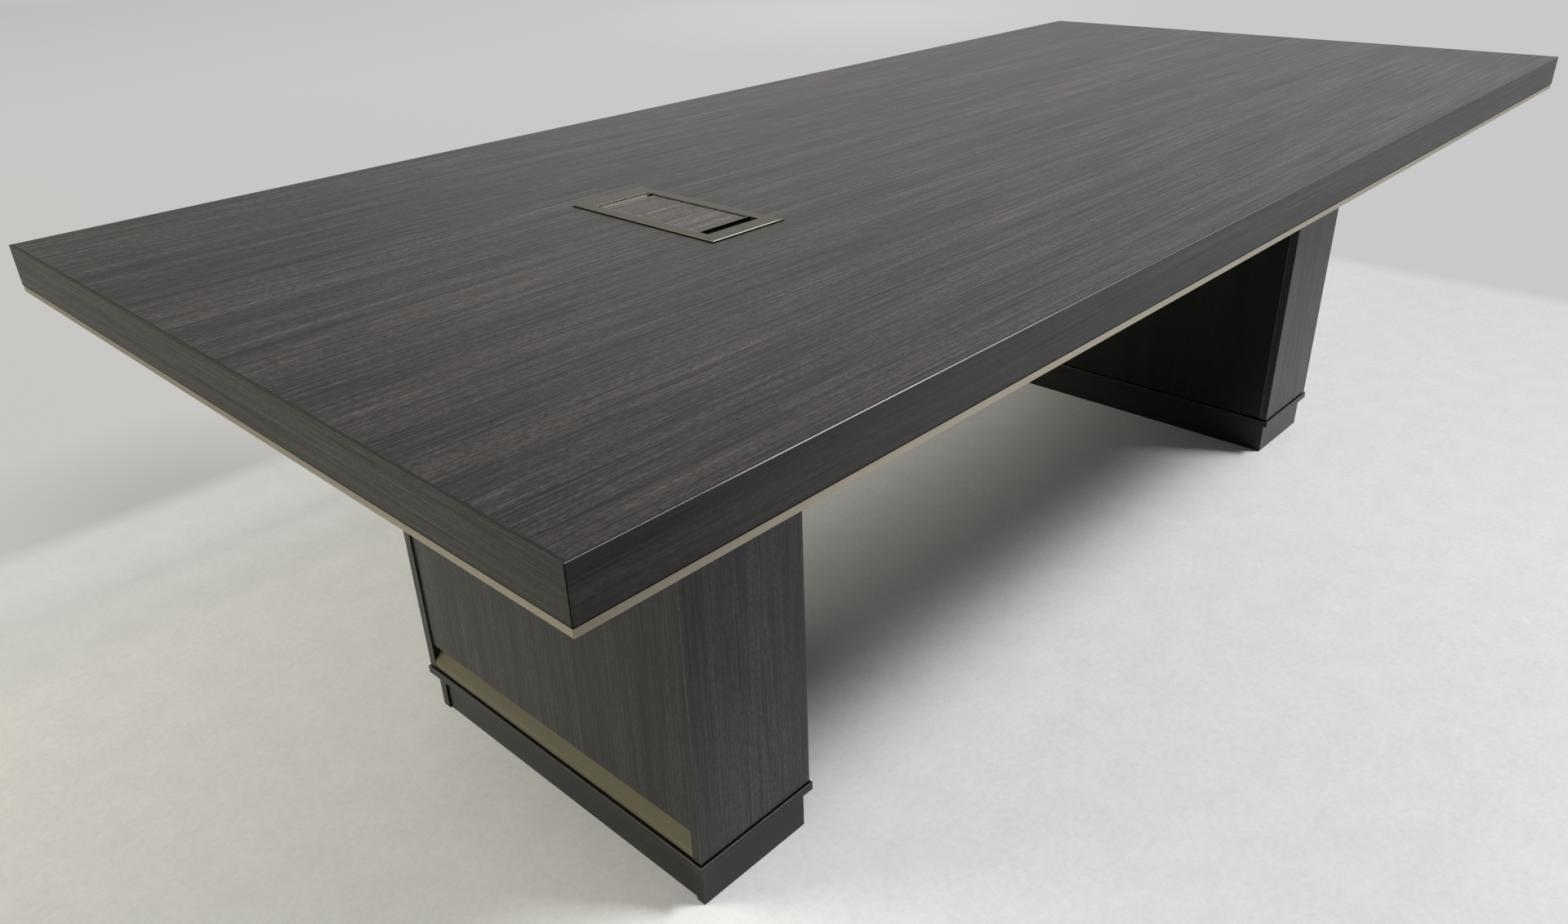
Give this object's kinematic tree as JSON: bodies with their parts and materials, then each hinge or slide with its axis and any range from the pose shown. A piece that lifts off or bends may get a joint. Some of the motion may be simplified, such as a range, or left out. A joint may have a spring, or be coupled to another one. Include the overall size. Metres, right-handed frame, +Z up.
{
  "type": "conference table",
  "caption": "Rectangular conference table with a thick dark wood top, a champagne metal edge line, slab pedestals with metal sills and a flip-lid power box with a cable slot.",
  "frame": {"origin": "on the floor, under the centre of the table", "axes": "+X along the table's length, away from the power box; +Y across the table, towards the lid's hinge; +Z up"},
  "size_m": [2.4, 1.11, 0.757],
  "materials": {
    "dark_wood": "charcoal-stained straight-grain veneer, satin lacquer",
    "plain_board": "unfaced board",
    "champagne_metal": "champagne satin",
    "black_steel": "black powder coat",
    "bright_steel": "zinc plated",
    "black_plastic": "fine matte"
  },
  "bodies": {
    "table": {"top_panel": "dark_wood", "edge_band_front": "dark_wood", "edge_band_right": "dark_wood", "edge_band_back": "dark_wood", "edge_band_left": "dark_wood", "build_up_front": "plain_board", "build_up_back": "plain_board", "build_up_left": "plain_board", "build_up_right": "plain_board", "trim_front": "champagne_metal", "trim_right": "champagne_metal", "trim_back": "champagne_metal", "trim_left": "champagne_metal", "bearer_left": "plain_board", "bearer_right": "plain_board", "left_side_panel_front": "dark_wood", "left_side_panel_back": "dark_wood", "left_outer_panel": "dark_wood", "left_inner_panel": "dark_wood", "left_sill": "champagne_metal", "left_top_plate": "plain_board", "left_fixing_screw_1": "bright_steel", "left_fixing_screw_2": "bright_steel", "left_fixing_screw_3": "bright_steel", "left_fixing_screw_4": "bright_steel", "left_base_board": "dark_wood", "left_plinth_front": "dark_wood", "left_plinth_back": "dark_wood", "left_plinth_outer": "dark_wood", "left_plinth_inner": "dark_wood", "right_side_panel_front": "dark_wood", "right_side_panel_back": "dark_wood", "right_outer_panel": "dark_wood", "right_inner_panel": "dark_wood", "right_sill": "champagne_metal", "right_top_plate": "plain_board", "right_fixing_screw_1": "bright_steel", "right_fixing_screw_2": "bright_steel", "right_fixing_screw_3": "bright_steel", "right_fixing_screw_4": "bright_steel", "right_base_board": "dark_wood", "right_plinth_front": "dark_wood", "right_plinth_back": "dark_wood", "right_plinth_outer": "dark_wood", "right_plinth_inner": "dark_wood", "box_frame": "champagne_metal", "box_housing": "black_steel", "hinge_pin": "bright_steel", "socket_plate": "black_steel", "power_socket_1": "black_plastic", "power_socket_2": "black_plastic", "data_socket": "black_plastic", "power_inlet": "black_plastic", "clamp_bracket_front": "bright_steel", "clamp_screw_front": "bright_steel", "clamp_bracket_back": "bright_steel", "clamp_screw_back": "bright_steel"},
    "lid": {"lid_tray": "champagne_metal", "lid_inlay": "dark_wood"}
  },
  "joints": [
    {"name": "lid_hinge", "type": "hinge", "parent": "table", "child": "lid", "pos_m": [-0.606, 0.0958, 0.7523], "axis": [-1, 0, 0], "range_deg": [0, 95]}
  ]
}
